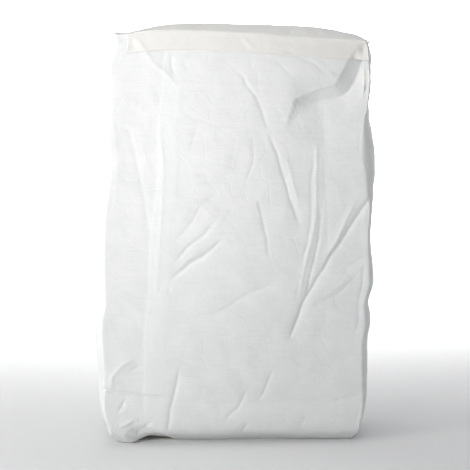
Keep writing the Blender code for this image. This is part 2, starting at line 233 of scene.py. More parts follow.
LONG_WRINKLE = [
    (-0.539, 3.2, 3.2, [(218, 563), (233, 555), (244, 544)]),
    (-1.72, 5.9, 3.9, [(238, 553), (244, 544), (253, 536), (257, 527), (268, 514), (280, 495), (290, 472),
        (294, 460)]),
    (0.781, 3.2, 6.5, [(248, 546), (263, 527), (275, 510)]),
    (-2.04, 4.5, 3.9, [(294, 460), (298, 446), (304, 428), (308, 408), (314, 388), (318, 374), (322, 358),
        (327, 346), (332, 332), (336, 320)]),
    (1.1, 4.5, 5.9, [(313, 429), (319, 410), (324, 388), (330, 366), (334, 348)]),
    (0.396, 2.6, 3.2, [(304, 444), (292, 435), (275, 421), (260, 412)]),
]
MIDDLE_FOLDS = [
    (-1.17, 3.8, 2.7, [(271, 456), (271, 432), (269, 414), (264, 401), (260, 392), (256, 381)]),
    (-0.645, 2.2, 2.7, [(252, 380), (268, 384), (283, 385), (295, 386)]),
    (-1.44, 3.8, 2.7, [(273, 368), (278, 354), (281, 344), (286, 323), (291, 306), (293, 288), (294, 271)]),
    (-0.645, 2.2, 2.7, [(184, 402), (195, 398), (208, 400), (220, 400)]),
    (-1.05, 2.7, 2.7, [(185, 386), (202, 388), (216, 390), (227, 392), (237, 396), (248, 401)]),
    (0.525, 2.2, 2.2, [(202, 394), (214, 396), (225, 397)]),
    (-1.05, 3.3, 2.7, [(228, 377), (217, 368), (207, 361), (194, 352)]),
    (0.78, 2.7, 2.7, [(241, 351), (229, 336), (216, 320)]),
    (-0.39, 3.3, 2.7, [(225, 430), (222, 407)]),
    (-0.39, 2.7, 2.7, [(236, 456), (246, 450), (254, 442)]),
    (-0.39, 2.7, 2.7, [(261, 492), (262, 473)]),
    (-0.645, 3.3, 3.3, [(168, 488), (182, 481), (198, 475), (216, 469), (235, 465)]),
    (-0.525, 3.8, 3.3, [(196, 479), (190, 454), (179, 424)]),
    # Three slanted valleys left of the middle, and the long shallow one below them
    (-1.17, 3.3, 3.3, [(160, 300), (170, 308), (182, 320), (191, 336), (198, 351), (208, 358)]),
    (-1.95, 3.3, 2.7, [(162, 270), (176, 284), (186, 296), (196, 304), (206, 312), (215, 324), (224, 332)]),
    (-2.47, 3.3, 2.7, [(155, 244), (166, 252), (176, 260), (187, 270), (206, 282), (214, 289), (224, 298),
        (236, 306)]),
    (0.915, 2.7, 2.7, [(172, 266), (182, 274), (193, 284), (204, 292)]),
    (-1.05, 3.3, 2.2, [(162, 240), (158, 232), (157, 222)]),
    (-1.44, 2.7, 2.7, [(175, 194), (186, 190), (202, 194), (218, 196), (238, 205), (260, 222), (276, 230),
        (308, 244)]),
]
RIGHT_FOLDS = [
    # The upright ridge with its two valleys
    (1, 2.7, 3.1, [(362, 446), (358, 402), (357, 360), (356, 330), (353, 304), (346, 280), (340, 256),
        (332, 222)]),
    (-1.38, 2.2, 2.5, [(360, 354), (363, 338), (363, 318), (362, 302), (358, 284), (353, 266), (348, 248),
        (344, 216)]),
    (-0.938, 2.4, 2.5, [(354, 431), (354, 409), (350, 386), (350, 360), (350, 328), (348, 304), (342, 282),
        (336, 262)]),
    (0.575, 3, 3, [(366, 304), (362, 286), (356, 270)]),
    (-0.5, 5.4, 4.8, [(371, 431), (370, 390), (372, 352), (374, 286)]),
    # The valley that slants down from the right edge
    (-2.64, 4.8, 4.2, [(444, 369), (427, 354), (418, 342), (411, 331), (404, 318), (390, 294), (376, 276),
        (368, 260), (358, 246), (347, 222), (338, 194), (333, 180), (329, 166), (324, 154)]),
    (1.56, 4.8, 5.4, [(416, 364), (404, 344), (395, 322), (386, 300), (373, 280), (364, 264)]),
    (-0.5, 4.2, 4.2, [(405, 364), (398, 346), (388, 330), (380, 316)]),
    (-0.737, 3, 3, [(337, 246), (332, 232), (332, 220), (326, 212)]),
    # The fold under it
    (-1.4, 3.6, 4.2, [(396, 256), (401, 264), (410, 268), (418, 272), (428, 276)]),
    (0.825, 3, 3.6, [(400, 251), (410, 258), (418, 262), (428, 270)]),
    (-1.33, 4.2, 4.2, [(416, 262), (408, 245), (400, 237), (387, 222), (372, 214), (361, 208), (352, 194)]),
    (0.737, 3.6, 3.6, [(404, 252), (394, 241), (381, 230), (369, 220)]),
    (-0.325, 3, 3, [(378, 210), (374, 194), (374, 176)]),
    # Along the right edge
    (-0.663, 3, 3, [(426, 464), (422, 444), (420, 428), (414, 416)]),
    (-0.663, 3, 3, [(432, 422), (432, 407), (441, 392), (488, 362)]),
    (-1.07, 4.2, 3, [(424, 271), (420, 250), (419, 225), (420, 198), (417, 172), (414, 152)]),
    (0.575, 3, 3, [(424, 354), (423, 336), (424, 318)]),
    (-0.737, 3, 3, [(400, 124), (404, 129), (412, 130), (424, 130)]),
    (-0.413, 3.6, 3.6, [(381, 110), (396, 118), (412, 126)]),
    (-0.325, 2.4, 2.4, [(390, 148), (404, 149)]),
    (-0.413, 3, 3, [(374, 80), (380, 92), (388, 106)]),
]
LEFT_FOLDS = [
    (-0.527, 3.1, 3.1, [(44, 230), (74, 230), (82, 225)]),
    (-0.675, 2.5, 3.1, [(90, 226), (100, 230), (114, 232), (129, 236)]),
    (-0.675, 3.1, 3.1, [(62, 215), (82, 220), (90, 217), (98, 209), (109, 198)]),
    (-0.378, 2.5, 2.5, [(78, 232), (82, 222)]),
    (-0.378, 3.1, 3.1, [(84, 470), (97, 461), (105, 450)]),
    (-0.891, 7.6, 8.8, [(96, 468), (102, 440), (109, 404), (123, 354), (132, 310)]),
    (0.594, 7.6, 8.8, [(72, 492), (78, 448), (79, 396), (82, 339)]),
    (0.891, 7.6, 7.6, [(141, 474), (143, 412), (146, 318), (140, 216)]),
]
BOTTOM_FOLDS = [
    # The lower crease across the flat sack, deepest at its ends
    (-2.94, 1.4, 3.6, [(50, 85), (77, 85), (91, 81), (104, 80), (127, 76), (151, 74), (176, 70)]),
    (-1.19, 1.6, 3.6, [(176, 70), (222, 67), (272, 64), (326, 64), (375, 64)]),
    (-1.96, 1.6, 3.6, [(370, 64), (388, 66), (402, 68), (416, 70), (425, 70)]),
    (1.93, 4, 6.1, [(83, 78), (82, 92), (82, 104), (90, 114), (97, 122), (107, 128), (120, 134)]),
    (-1.12, 4, 3.4, [(105, 108), (114, 116), (127, 120)]),
    (-2.09, 3.4, 2.7, [(102, 76), (98, 66), (94, 58), (86, 48)]),
    (-1.78, 4, 3.4, [(176, 122), (173, 106), (171, 92), (167, 74), (162, 56), (158, 38), (148, 14)]),
    (-0.966, 4, 3.4, [(154, 128), (170, 132), (185, 126), (212, 116)]),
    (-0.798, 4, 4, [(182, 110), (210, 104), (230, 97)]),
    (-1.46, 3.4, 3.4, [(308, 118), (300, 104), (296, 93), (288, 74), (277, 62)]),
    (-1.46, 3.4, 3.4, [(276, 90), (267, 82), (262, 70), (255, 56), (244, 46), (235, 32)]),
    (-1.29, 2.7, 2.7, [(270, 36), (264, 26), (260, 12)]),
    (-0.798, 2.7, 2.7, [(304, 36), (301, 24)]),
    (-0.798, 2.7, 2.7, [(356, 49), (348, 36), (342, 19)]),
    # The tucked corners
    (2.58, 4, 2.7, [(80, 41), (84, 30), (96, 33), (106, 39), (122, 44)]),
    (-3.21, 3.4, 2.7, [(114, 26), (106, 16), (96, 6)]),
    (-1.93, 3.4, 3.4, [(136, 39), (124, 30), (113, 24)]),
    (-2.25, 3.4, 3.4, [(405, 16), (420, 12), (464, 1)]),
    (-1.46, 2.7, 2.7, [(420, 37), (488, 6)]),
]
# On the side walls the block ends have pushed in a triangle, and the flat sack's side fold shows faintly
SIDE_FOLDS = [
    (-2.5, 9, 9, [(64, 596), (30, 560), (2, 536)]),
    (-2.5, 9, 9, [(936, 596), (970, 560), (998, 536)]),
    (-2.0, 9, 9, [(58, 6), (30, 40), (2, 66)]),
    (-2.0, 9, 9, [(942, 6), (970, 40), (998, 66)]),
    (0.8, 6, 6, [(2, 520), (4, 400), (1, 250), (3, 90)]),
    (-2.5, 9, 9, [(436, 596), (470, 560), (498, 536)]),
    (-2.5, 9, 9, [(564, 596), (530, 560), (502, 536)]),
    (-2.0, 9, 9, [(442, 6), (470, 40), (498, 66)]),
    (-2.0, 9, 9, [(558, 6), (530, 40), (502, 66)]),
    (0.8, 6, 6, [(502, 520), (498, 400), (501, 250), (499, 90)]),
    (-1.2, 8, 8, [(492, 470), (512, 440), (520, 405), (548, 380)]),
    (1.0, 8, 9, [(30, 330), (10, 300), (6, 262), (34, 236)]),
    (-1.0, 7, 7, [(960, 410), (982, 380), (990, 330)]),
    (-1.3, 8, 7, [(480, 200), (506, 214), (530, 204)]),
    (-1.1, 7, 7, [(970, 196), (1000, 210)]),
]
BACK_FOLDS = [
    (0.35, 6, 6, [(545, 529), (700, 531), (850, 529), (960, 530)]),
    (-0.6, 6, 8, [(545, 66), (700, 64), (850, 67), (955, 66)]),
    (-2.2, 10, 9, [(590, 560), (622, 500), (640, 440), (668, 380), (676, 330)]),
    (1.6, 11, 11, [(612, 560), (646, 494), (664, 436), (690, 372)]),
    (-1.8, 9, 9, [(905, 570), (884, 520), (860, 482), (848, 430)]),
    (1.2, 10, 10, [(885, 560), (862, 508), (838, 470)]),
    (-1.7, 9, 8, [(540, 250), (590, 262), (640, 292), (690, 300)]),
    (-1.4, 9, 8, [(955, 330), (910, 318), (868, 290), (820, 282)]),
    (1.3, 9, 9, [(700, 240), (726, 200), (742, 150), (738, 110)]),
    (-1.3, 8, 8, [(720, 245), (748, 198), (760, 150)]),
    (-1.4, 8, 8, [(560, 110), (584, 130), (630, 138)]),
    (-1.2, 8, 8, [(940, 120), (905, 136), (880, 170)]),
    (-1.0, 8, 8, [(770, 420), (800, 400), (850, 396)]),
    (-0.9, 7, 7, [(700, 470), (740, 455), (790, 460)]),
    (-1.2, 7, 7, [(610, 40), (622, 20), (618, 4)]),
    (-1.2, 7, 7, [(860, 44), (850, 20), (856, 4)]),
]
# On the top block end, by the place across of the front and the depth from the front edge
TOP_END_FOLDS = [
    (-1.5, 5, 5, [(70, 4), (92, 30), (112, 60), (92, 90), (70, 116)]),
    (-1.5, 5, 5, [(430, 4), (408, 30), (388, 60), (408, 90), (430, 116)]),
    (-1.6, 5, 5, [(322, 2), (324, 20), (330, 44)]),
    (-1.2, 5, 5, [(364, 2), (368, 24), (374, 40)]),
    (-1.4, 5, 5, [(378, 2), (386, 18), (396, 44)]),
    (1.0, 6, 6, [(344, 2), (350, 26), (352, 52)]),
    (-0.9, 5, 5, [(180, 2), (176, 22), (184, 60)]),
    (-0.8, 5, 5, [(250, 60), (262, 90), (258, 116)]),
    (1.6, 6, 9, [(80, 108), (160, 112), (260, 110), (350, 112), (420, 108)]),
]
FOLD_REACH = 4.5
FOLD_FADE = 22.0
# A fold's sharp crest: its share of the height, its width as a share of the fold's, and how round it is
CREST_SHARE = 0.4
CREST_WIDTH = 0.28
CREST_ROUND = 0.7

# Steps pressed into the front, where a flat slope leads down from a crease to a valley and the paper rises
# gently beyond it: the slope, the width of the gentle side, the power of the fall, which is softer above 1,
# how long the ends are, and points of the valley with the slope's width there, to the left of its way
STEPS = [
    # The dent under the free end of the cover strip
    (0.52, 28, 1.0, 11, [(322, 507, 2), (342, 504, 13), (361, 506, 19), (378, 510, 20), (392, 515, 21),
        (402, 525, 22), (410, 541, 22), (416, 556, 20), (421, 569, 18), (424, 583, 14), (426, 597, 6)]),
    # The slack paper to the left below it
    (0.075, 30, 1.6, 60, [(373, 410, 30), (374, 440, 44), (374, 456, 52), (371, 474, 54), (366, 488, 48),
        (360, 500, 36)]),
    # The tucked corner at the lower left
    (0.36, 8, 1.0, 12, [(76, 4, 6), (90, 1, 20), (104, 0, 29), (118, 1, 31), (134, 4, 26), (152, 8, 8)]),
]

# The lengthwise seam, where the outer ply laps over: from its sharp left edge to its soft right one, at the
# foot, and how far it leans to the right for each millimetre up
SEAM = (124.0, 154.0)
SEAM_LEAN = 0.03
SEAM_HIGH = 0.4

# Small creases at random places: how many, their ways in radians, their lengths, heights and widths. The
# right edge of the front has deeper ones, and the calm upper left of the front has fewer and fainter ones.
CREASE_SEED = 11
CREASES = 420
CREASE_WAYS = [0.15, 0.85, 1.45, 2.3]
CREASE_LONG, CREASE_HIGH, CREASE_WIDE = (14, 60), (0.08, 0.34), (2, 4)
EDGE_EVERY, EDGE_ACROSS, EDGE_HIGHER = 4, (424, 478), 2.2
CALM_ACROSS, CALM_ABOVE, CALM_LEFT_OUT, CALM_FAINTER = (40, 250), 230, 0.7, 0.4
# Rumples, as wave length and height, and the net of points on which they are worked out
RUMPLES = [(70.0, 0.7), (26.0, 0.16), (11.0, 0.06)]
NET_STEP, NET_ROWS, NET_COLUMNS = 2.0, 300, 500


def fold_line(points):
    """Places 2 mm apart on the smooth curve through the points, and the way it runs at each."""
    corners = np.array(points, float)
    walked = np.concatenate([[0], np.cumsum(np.linalg.norm(np.diff(corners, axis=0), axis=1))])
    places = np.linspace(0, walked[-1], max(int(walked[-1] / 2), 6))
    line = np.stack([through(np.stack([walked, corners[:, k]], axis=1), places) for k in (0, 1)], axis=1)
    way = np.gradient(line, axis=0)
    return line, way / np.linalg.norm(way, axis=1, keepdims=True)


def near_line(across, up, points, margin):
    """Around a line: the rows and columns of the net within the margin, and for each place there the number
    of the line's nearest place, the way walked to it, and how far it lies to the left of the line."""
    line, way = fold_line([point[:2] for point in points])
    columns = slice(*np.searchsorted(across, [line[:, 0].min() - margin, line[:, 0].max() + margin]))
    rows = slice(*np.searchsorted(up, [line[:, 1].min() - margin, line[:, 1].max() + margin]))
    places = np.stack(np.meshgrid(across[columns], up[rows]), axis=-1)
    away = places[:, :, None, :] - line
    nearest = np.argmin((away**2).sum(axis=-1), axis=-1)
    away = places - line[nearest]
    side = way[nearest, 0] * away[..., 1] - way[nearest, 1] * away[..., 0]
    walked = np.concatenate([[0], np.cumsum(np.linalg.norm(np.diff(line, axis=0), axis=1))])
    return (rows, columns), nearest, walked, side


def press_fold(relief, across, up, height, left_width, right_width, points):
    """Adds a fold to the relief: its height falls off from the line as the sum of two exponentials, one for
    the sharp crest and one with a width for each side, and fades out at both ends."""
    here, nearest, walked, side = near_line(across, up, points, FOLD_REACH * max(left_width, right_width))
    width = np.where(side > 0, left_width, right_width)
    distance = np.hypot(side, CREST_ROUND) - CREST_ROUND
    crest = CREST_SHARE * np.exp(-distance / (CREST_WIDTH * width))
    fade_long = min(FOLD_FADE, 0.45 * walked[-1])
    fade = smooth_step(walked, 0, fade_long) * smooth_step(walked[-1] - walked, 0, fade_long)
    relief[here] += height * fade[nearest] * (crest + (1 - CREST_SHARE) * np.exp(-distance / width))


def press_step(relief, across, up, slope, gentle, power, end_long, points):
    """Lowers the relief in a step: on the line's left a slope down to it, as wide as its points say, that
    falls off by a power, and on its right a rise that falls off as an exponential."""
    here, nearest, walked, side = near_line(across, up, points, FOLD_REACH * gentle)
    corners = np.array(points, float)
    corner_walk = np.concatenate([[0], np.cumsum(np.linalg.norm(np.diff(corners[:, :2], axis=0), axis=1))])
    steep = np.interp(walked / walked[-1], corner_walk / corner_walk[-1], corners[:, 2])[nearest]
    fall = np.where(side > 0, np.clip(1 - side / steep, 0, 1) ** power, np.exp(np.minimum(side, 0) / gentle))
    fade = smooth_step(walked, 0, end_long) * smooth_step(walked[-1] - walked, 0, end_long)
    relief[here] -= slope * steep * fall * fade[nearest]


def small_creases(relief, across, up, draw):
    """Short creases at random places, each a line of three even steps that turns a little at each step."""
    for number in range(CREASES):
        place = np.array([draw.uniform(30, 970), draw.uniform(12, 585)])
        is_edge = number % EDGE_EVERY == 0
        if is_edge:
            place[0] = draw.uniform(*EDGE_ACROSS)
        is_calm = CALM_ACROSS[0] < place[0] < CALM_ACROSS[1] and place[1] > CALM_ABOVE
        if is_calm and draw.random() < CALM_LEFT_OUT:
            continue
        length = draw.uniform(*CREASE_LONG)
        angle = draw.choice(CREASE_WAYS) + draw.normal(0, 0.35)
        bend = draw.normal(0, 0.25)
        points = [place]
        for turn in (0, bend, 2 * bend):
            points.append(points[-1] + length / 3 * np.array([np.cos(angle + turn), np.sin(angle + turn)]))
        points = np.clip(points, (1, 3), (999, 596))
        height = draw.choice([-1, 1], p=[0.65, 0.35]) * draw.uniform(*CREASE_HIGH)
        height *= CALM_FAINTER if is_calm else EDGE_HIGHER if is_edge else 1.0
        press_fold(relief, across, up, height, draw.uniform(*CREASE_WIDE), draw.uniform(*CREASE_WIDE), points)


def rumple(draw, size):
    """Noise of one size, which is the same at both ends of the tube's way round: white noise on a net, of
    which a band of wave lengths about that size is kept."""
    white = draw.standard_normal((NET_ROWS, NET_COLUMNS))
    waves = np.hypot(np.fft.fftfreq(NET_ROWS, NET_STEP)[:, None], np.fft.fftfreq(NET_COLUMNS, NET_STEP))
    kept = np.exp(-((waves * size - 1) ** 2) / 0.2)
    noise = np.fft.ifft2(np.fft.fft2(white) * kept).real
    return noise / noise.std()


def read_grid(grid, row_places, column_places, row_at, column_at):
    """Values of a grid at places between its rows and columns, blended in straight lines."""
    row = np.clip(np.searchsorted(row_places, row_at) - 1, 0, len(row_places) - 2)
    column = np.clip(np.searchsorted(column_places, column_at) - 1, 0, len(column_places) - 2)
    s = (row_at - row_places[row]) / (row_places[row + 1] - row_places[row])
    t = (column_at - column_places[column]) / (column_places[column + 1] - column_places[column])
    if grid.ndim == 3:
        s, t = s[..., None], t[..., None]
    low = grid[row, column] * (1 - t) + grid[row, column + 1] * t
    high = grid[row + 1, column] * (1 - t) + grid[row + 1, column + 1] * t
    return low * (1 - s) + high * s


def wall_relief(across, up):
    """Height of the paper out of the plain wall: the sum of the seam, the folds, the steps, the small
    creases, and for the rumples 1 less the size of a noise."""
    upright = across - SEAM_LEAN * up[:, None]
    left, right = SEAM
    relief = SEAM_HIGH * smooth_step(upright, left - 1.5, left + 1)
    relief = relief * smooth_step(-upright, -right - 2, 6 - right)
    for group in (TOP_FOLDS, DENT_FOLDS, LONG_WRINKLE, MIDDLE_FOLDS, RIGHT_FOLDS, LEFT_FOLDS, BOTTOM_FOLDS,
                  SIDE_FOLDS, BACK_FOLDS):
        for height, left_width, right_width, points in group:
            press_fold(relief, across, up, height, left_width, right_width, points)
    for slope, gentle, power, end_long, points in STEPS:
        press_step(relief, across, up, slope, gentle, power, end_long, points)
    draw = np.random.default_rng(CREASE_SEED)
    small_creases(relief, across, up, draw)
    net_up, net_across = np.arange(NET_ROWS + 1) * NET_STEP, np.arange(NET_COLUMNS + 1) * NET_STEP
    all_up, all_across = np.meshgrid(up, across, indexing="ij")
    for size, height in RUMPLES:
        noise = np.pad(rumple(draw, size), ((0, 1), (0, 1)), mode="wrap")
        ridged = 1 - np.abs(noise)
        relief += height * read_grid(ridged, net_up, net_across, all_up, all_across) / 2
    return relief


def end_points(front, back, depth_lines, dome, relief):
    """A block end, without its front edge: straight lines from the front to the back edge, raised by a dome
    that dies out at its rim, and by the relief."""
    share = (depth_lines[1:] / TOP_DEPTH)[:, None]
    points = front * (1 - share[..., None]) + back * share[..., None]
    edge = np.minimum(points[..., 0] - front[:, 0].min(), front[:, 0].max() - points[..., 0])
    hump = 4 * share * (1 - share)
    points[..., 2] += dome * hump * smooth_step(edge, 0, 60) + relief[1:] * np.minimum(2.5 * hump, 1)
    return points


def grid_faces(numbers):
    """Four-sided faces between neighbouring rows and columns of a grid of point numbers."""
    low, high = numbers[:-1], numbers[1:]
    return np.stack([low[:, :-1], low[:, 1:], high[:, 1:], high[:, :-1]], axis=2).reshape(-1, 4)


def zip_faces(left_line, right_line, left_at, right_at):
    """Triangles between two lines of points: at each step the line whose next point comes first moves on."""
    order = np.argsort(np.concatenate([left_at[1:], right_at[1:]]), kind="stable")
    is_left = order < len(left_line) - 1
    left, right = np.cumsum(is_left), np.cumsum(~is_left)
    ahead = np.where(is_left, left_line[left], right_line[right])
    return np.stack([left_line[left - is_left], right_line[right - ~is_left], ahead], axis=1)


def end_faces(ring, grid, points):
    """Faces of a block end: the grid between its rim's front part and the rest of the rim, which is zipped to
    it on the left, at the back and on the right."""
    first, last = SIDE_COLUMNS, SIDE_COLUMNS + FACE_COLUMNS
    back_left = last + SIDE_COLUMNS + round(BACK_COLUMNS * (1 - FACE_START / FLAT_WIDTH))
    back_right = last + SIDE_COLUMNS + round(BACK_COLUMNS * FACE_START / FLAT_WIDTH)
    left_side = np.concatenate([ring[first - 1 :: -1], ring[: back_left - 1 : -1]])
    right_side = ring[last + 1 : back_right + 1]
    back_edge = ring[back_left : back_right - 1 : -1]
    y, x = points[:, 1], points[:, 0]
    left = zip_faces(left_side, grid[:, 0], y[left_side], y[grid[:, 0]])
    right = zip_faces(grid[:, -1], right_side, y[grid[:, -1]], y[right_side])
    back = zip_faces(back_edge, grid[-1], x[back_edge], x[grid[-1]])
    return grid_faces(grid), np.concatenate([left, right, back])


def new_piece(name, points, face_groups, places):
    """A mesh object of points in millimetres and groups of faces. places holds, for each group, what gives
    the paper's own coordinates of points from their numbers, in millimetres, for the UV map in metres."""
    mesh = bpy.data.meshes.new(name)
    faces = [face for group in face_groups for face in group.tolist()]
    mesh.from_pydata(points / 1000, [], faces)
    flat_map = np.concatenate([place(group).reshape(-1, 2) for group, place in zip(face_groups, places)])
    mesh.uv_layers.new(name="paper").data.foreach_set("uv", (flat_map / 1000).ravel())
    mesh.shade_smooth()
    piece = bpy.data.objects.new(name, mesh)
    bpy.context.scene.collection.objects.link(piece)
    return piece


def back_opposite(ring, across):
    """The points of a ring's back part that lie behind those columns of its front part."""
    last = SIDE_COLUMNS + FACE_COLUMNS + SIDE_COLUMNS
    places = np.linspace(FLAT_WIDTH, 2 * FLAT_WIDTH, BACK_COLUMNS + 1)
    back = np.append(ring[last:], ring[:1], axis=0)
    return np.stack([np.interp(2 * FLAT_WIDTH - across, places, back[:, k]) for k in range(3)], axis=1)


def wall_map(numbers):
    """Paper coordinates of the wall's points. Where a face closes the tube, its far points are at 1000."""
    places = np.stack([ACROSS[numbers % len(ACROSS)], UP[numbers // len(ACROSS)]], axis=-1)
    closes = (places[..., 0].max(axis=1) > 1.5 * FLAT_WIDTH)[:, None] & (places[..., 0] < FLAT_WIDTH / 2)
    places[..., 0] += 2 * FLAT_WIDTH * closes
    return places


def flat_end_map(numbers):
    """Paper coordinates of a block end: it goes on from the front edge, by x and y."""
    return POINTS[numbers][..., :2] + (FLAT_WIDTH / 2, HEIGHT + TOP_DEPTH / 2)


ACROSS, UP = wall_lines()
all_across, all_up = np.meshgrid(ACROSS, UP)
wall = plain_wall(all_across, all_up)
relief = wall_relief(ACROSS, UP)
wall += wall_normals(all_across, all_up) * relief[..., None]
wall_numbers = np.arange(wall.size // 3).reshape(wall.shape[:2])
front = slice(SIDE_COLUMNS, SIDE_COLUMNS + FACE_COLUMNS + 1)
FRONT_ACROSS = ACROSS[front]

top_lines = np.linspace(0, TOP_DEPTH, TOP_ROWS + 1)[:-1]
top_relief = np.zeros((TOP_ROWS, FACE_COLUMNS + 1))
for height, left_width, right_width, line in TOP_END_FOLDS:
    press_fold(top_relief, FRONT_ACROSS, top_lines, height, left_width, right_width, line)
top = end_points(wall[-1, front], back_opposite(wall[-1], FRONT_ACROSS), top_lines, TOP_DOME, top_relief)
bottom_lines = np.linspace(0, TOP_DEPTH, BOTTOM_ROWS + 1)[:-1]
bottom_relief = np.zeros((BOTTOM_ROWS, FACE_COLUMNS + 1))
bottom = end_points(wall[0, front], back_opposite(wall[0], FRONT_ACROSS), bottom_lines, 0, bottom_relief)

POINTS = np.concatenate([wall.reshape(-1, 3), top.reshape(-1, 3), bottom.reshape(-1, 3)])
top_numbers = wall_numbers.size + np.arange(top.size // 3).reshape(top.shape[:2])
bottom_numbers = wall_numbers.size + top_numbers.size + np.arange(bottom.size // 3).reshape(bottom.shape[:2])
top_grid = np.concatenate([wall_numbers[-1:, front], top_numbers])
bottom_grid = np.concatenate([wall_numbers[:1, front], bottom_numbers])
faces = [grid_faces(np.append(wall_numbers, wall_numbers[:, :1], axis=1))]
faces += end_faces(wall_numbers[-1], top_grid, POINTS)
faces += [group[:, ::-1] for group in end_faces(wall_numbers[0], bottom_grid, POINTS)]
sack = new_piece("white_paper_sack", POINTS, faces, [wall_map] + [flat_end_map] * 4)


# Width in metres of the finest creases, which are only in the finish
LINE_WIDE = 0.0016


class Shade:
    """A socket of a finish, which can stand in a sum as a number does. made adds any other node."""

    def __init__(self, tree, socket=None):
        self.tree = tree
        self.socket = socket

    def made(self, kind, settings=(), inputs=(), output=0):
        """Adds a node of a kind: its settings first, then the values or links of its sockets."""
        node = self.tree.nodes.new(kind)
        for name, value in dict(settings).items():
            setattr(node, name, value)
        for name, value in dict(inputs).items():
            if isinstance(value, Shade):
                self.tree.links.new(value.socket, node.inputs[name])
            else:
                node.inputs[name].default_value = value
        return Shade(self.tree, node.outputs[output])

    def sum(self, operation, first, second):
        return self.made("ShaderNodeMath", {"operation": operation}, {0: first, 1: second})

    def __add__(self, other):
        return self.sum("ADD", self, other)

    def __radd__(self, other):
        return self.sum("ADD", other, self)

    def __sub__(self, other):
        return self.sum("SUBTRACT", self, other)

    def __rsub__(self, other):
        return self.sum("SUBTRACT", other, self)

    def __mul__(self, other):
        return self.sum("MULTIPLY", self, other)

    def __rmul__(self, other):
        return self.sum("MULTIPLY", other, self)

    def step(self, low, high):
        """0 below low, 1 above high, and a smooth rise between."""
        settings = {"interpolation_type": "SMOOTHSTEP"}
        return self.made("ShaderNodeMapRange", settings, {"Value": self, "From Min": low, "From Max": high})

    def noise(self, place, waves, detail=2.0, roughness=0.5):
        """Noise from 0 to 1 with so many waves a metre along each way of the place."""
        scaled = self.made("ShaderNodeMapping", {}, {"Vector": place, "Scale": waves})
        inputs = {"Vector": scaled, "Scale": 1.0, "Detail": detail, "Roughness": roughness}
        return self.made("ShaderNodeTexNoise", {}, inputs)

    def cells(self, place, size):
        """Thin lines between cells of a size in metres, 1 on a line and 0 beside it, with wavy sides. A line
        is a place whose distance from a cell's edge is nearly 0, after a noise has moved the place."""
        inputs = {"Vector": place, "Scale": 0.7 / size, "Detail": 2.0}
        waver = self.made("ShaderNodeTexNoise", {}, inputs, output=1)
        inputs = {0: waver, 1: (0.5 * size, 0.5 * size, 0.0), 2: place}
        moved = self.made("ShaderNodeVectorMath", {"operation": "MULTIPLY_ADD"}, inputs)
        settings = {"feature": "DISTANCE_TO_EDGE"}
        edge = self.made("ShaderNodeTexVoronoi", settings, {"Vector": moved, "Scale": 1 / size})
        return 1 - edge.step(0.0, LINE_WIDE / size)

    def blend(self, share, first, second):
        """One colour where the share is 0, the other where it is 1."""
        settings = {"data_type": "RGBA"}
        return self.made("ShaderNodeMix", settings, {"Factor": share, 6: first, 7: second}, output=2)


def new_finish(name, colour, roughness):
    """A material with an even colour and roughness, its shader node, and a Shade to add nodes with."""
    material = bpy.data.materials.new(name)
    material.use_nodes = True
    shader = material.node_tree.nodes["Principled BSDF"]
    shader.inputs["Base Color"].default_value = (*colour, 1)
    shader.inputs["Roughness"].default_value = roughness
    return material, shader, Shade(material.node_tree)


def kraft_paper(name, light, dark, roughness, seam=False):
    """Machine-glazed sack paper: cloudy where the fibres lie thicker, with fine lines across the web from its
    creping, short fibres, and a lighter band where two plies lie over each other at the seam. Fine creases
    stand in its bump as lines between cells, wide apart where it is more worn and close elsewhere."""
    material, shader, paper = new_finish(name, light[:3], roughness)
    place = paper.made("ShaderNodeUVMap", {"uv_map": "paper"})
    clouds = paper.noise(place, (38, 30, 1), 3.0)
    fibres = paper.noise(place, (300, 520, 1), 3.0, 0.7)
    creping = paper.noise(place, (24, 420, 1), 2.0)
    share = clouds * 0.4 + fibres * 0.35 + creping * 0.25
    colour = paper.blend(share.step(0.34, 0.66), (*dark, 1), (*light, 1))
    if seam:
        across = paper.made("ShaderNodeSeparateXYZ", {}, {"Vector": place})
        up = paper.made("ShaderNodeSeparateXYZ", {}, {"Vector": place}, output=1)
        upright = across - up * SEAM_LEAN
        left_edge = upright.step(SEAM[0] / 1000 - 0.0006, SEAM[0] / 1000 + 0.0006)
        right_edge = upright.step(SEAM[1] / 1000 - 0.003, SEAM[1] / 1000 + 0.003)
        band = left_edge * (1 - right_edge)
        colour = paper.blend(band * 0.5, colour, (*SEAM_PAPER, 1))
    worn = paper.noise(place, (11, 11, 1), 1.0).step(0.46, 0.66)
    lines = paper.cells(place, 0.043) * worn + paper.cells(place, 0.017) * (0.6 - worn).step(0.0, 0.5) * 0.5
    height = fibres * 0.5 + creping * 0.5 - lines * 0.7
    bump = paper.made("ShaderNodeBump", {}, {"Strength": 0.6, "Distance": 0.0004, "Height": height})
    paper.tree.links.new(colour.socket, shader.inputs["Base Color"])
    paper.tree.links.new(bump.socket, shader.inputs["Normal"])
    paper.tree.links.new((fibres * 0.16 + (roughness - 0.08)).socket, shader.inputs["Roughness"])
    shader.inputs["Specular IOR Level"].default_value = 0.35
    return material


SEAM_PAPER = (0.83, 0.84, 0.84)
SACK_LIGHT, SACK_DARK = (0.815, 0.82, 0.815), (0.755, 0.76, 0.76)
sack.data.materials.append(kraft_paper("white kraft paper", SACK_LIGHT, SACK_DARK, 0.62, seam=True))
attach(sack, "root")
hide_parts("paper_sack")

# The powder: it fills the sack to just under the top, and is hidden by it. It is rounder than the paper, lies
# a few millimetres inside it, and gives way a little more than the paper where that is pressed in.
FILL_INSET = 7.0
FILL_GIVES_WAY = 1.3
FILL_HEADSPACE = 11.0
FILL_FOOT = 8.0
FILL_ROUNDING = 4.0
FILL_ROWS, FILL_COLUMNS = 56, 120

